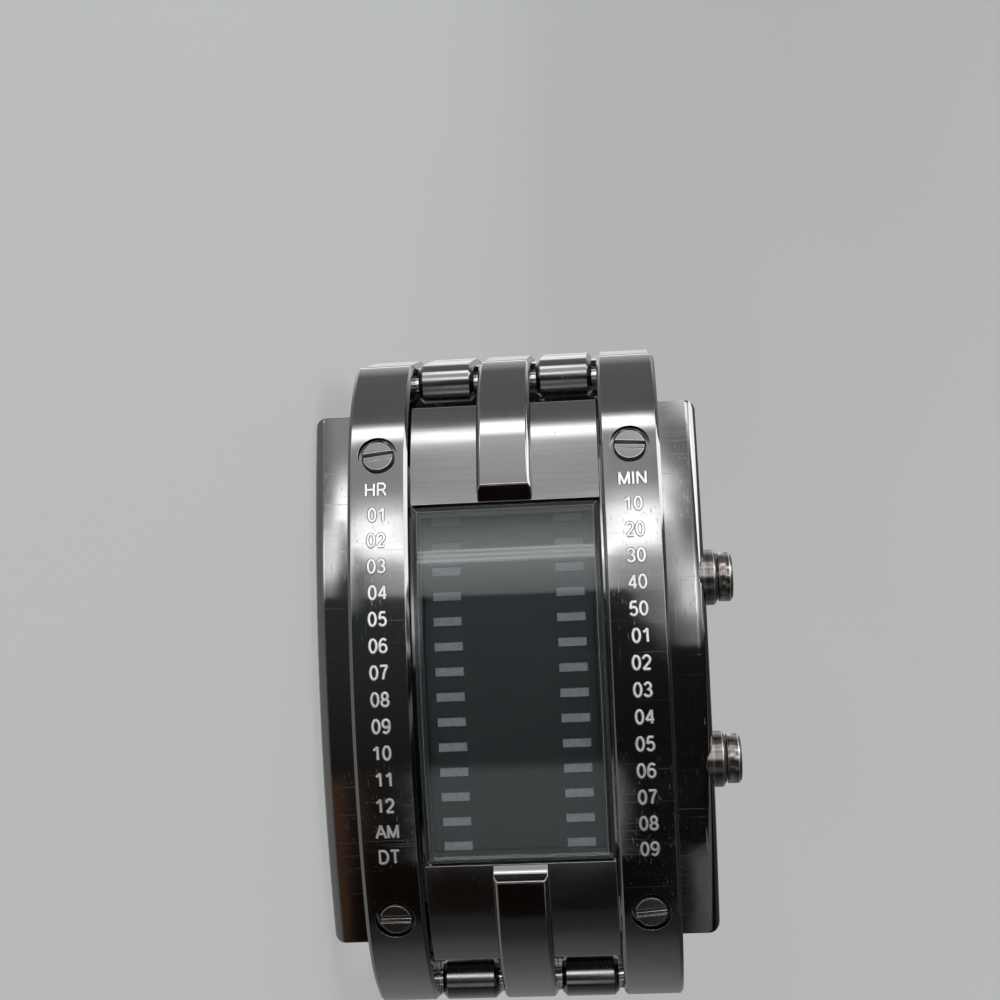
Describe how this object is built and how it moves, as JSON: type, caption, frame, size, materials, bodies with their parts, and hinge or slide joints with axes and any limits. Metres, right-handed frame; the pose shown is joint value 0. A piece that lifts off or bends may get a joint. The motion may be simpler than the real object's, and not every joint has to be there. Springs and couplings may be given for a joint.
{
  "type": "binary watch",
  "caption": "Bracelet watch with a long curved case, lettered rails beside a smoked display window, side pushers and a folding clasp.",
  "frame": {"origin": "middle of the underside of the bounding box, on the outer face of the left side plate", "axes": "+Z towards the pushers, across the case; the display looks towards -Y; +X runs along the case towards the six o'clock end"},
  "size_m": [0.0604, 0.0594, 0.036],
  "materials": {
    "polished_gunmetal": "polished black chrome plating on cast alloy",
    "satin_gunmetal": "satin brushed, dark plated",
    "screw_steel": "dark plated steel",
    "pusher_steel": "turned, dark plated steel",
    "smoked_glass": "polished, smoke grey tint",
    "black_plastic": "matt black",
    "diffuser": "milky white diffuser",
    "led_body": "pale moulded package",
    "circuit_board": "green solder mask",
    "component": "black moulded package",
    "plain_steel": "plain steel",
    "cell_steel": "nickel plated steel",
    "contact_brass": "plated brass",
    "seal_rubber": "soft black rubber"
  },
  "bodies": {
    "case": {"middle_case": "polished_gunmetal", "left_side_plate": "polished_gunmetal", "right_side_plate": "polished_gunmetal", "left_rail": "polished_gunmetal", "right_rail": "polished_gunmetal", "upper_end_cover": "satin_gunmetal", "lower_end_cover": "satin_gunmetal", "upper_rib": "polished_gunmetal", "lower_rib": "polished_gunmetal", "rail_screws": "screw_steel", "window_lens": "smoked_glass", "window_seal": "seal_rubber", "display_mask": "black_plastic", "light_bars": "diffuser", "led_chips": "led_body", "circuit_board": "circuit_board", "controller_chip": "component", "quartz_crystal": "plain_steel", "pusher_contacts": "contact_brass", "module_frame": "black_plastic", "coin_cells": "cell_steel", "battery_strap": "plain_steel", "back_seal": "seal_rubber", "case_back": "satin_gunmetal", "back_screws": "screw_steel", "pusher_tubes": "pusher_steel", "lug_pins": "plain_steel", "upper_pusher_spring": "plain_steel", "lower_pusher_spring": "plain_steel"},
    "upper_pusher": {"upper_pusher": "pusher_steel", "upper_pusher_seal": "seal_rubber", "upper_pusher_clip": "plain_steel"},
    "lower_pusher": {"lower_pusher": "pusher_steel", "lower_pusher_seal": "seal_rubber", "lower_pusher_clip": "plain_steel"},
    "upper_link_1": {"upper_link_1": "polished_gunmetal", "upper_link_pin_1": "plain_steel"},
    "upper_link_2": {"upper_link_2": "polished_gunmetal", "upper_link_pin_2": "plain_steel"},
    "upper_link_3": {"upper_link_3": "polished_gunmetal", "upper_link_pin_3": "plain_steel"},
    "upper_link_4": {"upper_link_4": "polished_gunmetal", "upper_link_pin_4": "plain_steel"},
    "upper_link_5": {"upper_link_5": "polished_gunmetal", "upper_spring_bar": "plain_steel"},
    "lower_link_1": {"lower_link_1": "polished_gunmetal", "lower_link_pin_1": "plain_steel"},
    "lower_link_2": {"lower_link_2": "polished_gunmetal", "lower_link_pin_2": "plain_steel"},
    "lower_link_3": {"lower_link_3": "polished_gunmetal", "lower_link_pin_3": "plain_steel"},
    "lower_link_4": {"lower_link_4": "polished_gunmetal", "lower_link_pin_4": "plain_steel"},
    "lower_link_5": {"lower_link_5": "polished_gunmetal", "lower_spring_bar": "plain_steel"},
    "inner_blade": {"clasp_inner_blade": "satin_gunmetal", "clasp_catch": "plain_steel"},
    "middle_blade": {"clasp_middle_blade": "satin_gunmetal", "clasp_hinge_pins": "plain_steel"},
    "clasp_cover": {"clasp_cover": "polished_gunmetal"}
  },
  "joints": [
    {"name": "upper_pusher_press", "type": "slide", "parent": "case", "child": "upper_pusher", "axis": [0, 0, -1], "range_m": [0, 0.0009], "stiffness_N_per_m": 1500, "deforming": ["upper_pusher_spring"]},
    {"name": "lower_pusher_press", "type": "slide", "parent": "case", "child": "lower_pusher", "axis": [0, 0, -1], "range_m": [0, 0.0009], "stiffness_N_per_m": 1500, "deforming": ["lower_pusher_spring"]},
    {"name": "upper_link_1_hinge", "type": "hinge", "parent": "case", "child": "upper_link_1", "pos_m": [-0.02683, -0.01816, 0.0168], "axis": [0, 0, 1], "range_deg": [0, 18]},
    {"name": "upper_link_2_hinge", "type": "hinge", "parent": "upper_link_1", "child": "upper_link_2", "pos_m": [-0.02843, -0.0091, 0.0168], "axis": [0, 0, 1], "range_deg": [0, 20]},
    {"name": "upper_link_3_hinge", "type": "hinge", "parent": "upper_link_2", "child": "upper_link_3", "pos_m": [-0.02802, 0.00009, 0.0168], "axis": [0, 0, 1], "range_deg": [0, 20]},
    {"name": "upper_link_4_hinge", "type": "hinge", "parent": "upper_link_3", "child": "upper_link_4", "pos_m": [-0.02564, 0.00898, 0.0168], "axis": [0, 0, 1], "range_deg": [0, 20]},
    {"name": "upper_link_5_hinge", "type": "hinge", "parent": "upper_link_4", "child": "upper_link_5", "pos_m": [-0.0214, 0.01714, 0.0168], "axis": [0, 0, 1], "range_deg": [0, 20]},
    {"name": "lower_link_1_hinge", "type": "hinge", "parent": "case", "child": "lower_link_1", "pos_m": [0.02683, -0.01816, 0.0168], "axis": [0, 0, -1], "range_deg": [0, 18]},
    {"name": "lower_link_2_hinge", "type": "hinge", "parent": "lower_link_1", "child": "lower_link_2", "pos_m": [0.02843, -0.0091, 0.0168], "axis": [0, 0, -1], "range_deg": [0, 20]},
    {"name": "lower_link_3_hinge", "type": "hinge", "parent": "lower_link_2", "child": "lower_link_3", "pos_m": [0.02802, 0.00009, 0.0168], "axis": [0, 0, -1], "range_deg": [0, 20]},
    {"name": "lower_link_4_hinge", "type": "hinge", "parent": "lower_link_3", "child": "lower_link_4", "pos_m": [0.02564, 0.00898, 0.0168], "axis": [0, 0, -1], "range_deg": [0, 20]},
    {"name": "lower_link_5_hinge", "type": "hinge", "parent": "lower_link_4", "child": "lower_link_5", "pos_m": [0.0214, 0.01714, 0.0168], "axis": [0, 0, -1], "range_deg": [0, 20]},
    {"name": "inner_blade_hinge", "type": "hinge", "parent": "lower_link_5", "child": "inner_blade", "pos_m": [0.01548, 0.02418, 0.0168], "axis": [0, 0, -1], "range_deg": [0, 28]},
    {"name": "middle_blade_hinge", "type": "hinge", "parent": "inner_blade", "child": "middle_blade", "pos_m": [-0.00827, 0.02605, 0.0168], "axis": [0, 0, 1], "range_deg": [0, 130]},
    {"name": "clasp_cover_hinge", "type": "hinge", "parent": "middle_blade", "child": "clasp_cover", "pos_m": [0.01145, 0.0266, 0.0168], "axis": [0, 0, -1], "range_deg": [0, 130]}
  ]
}
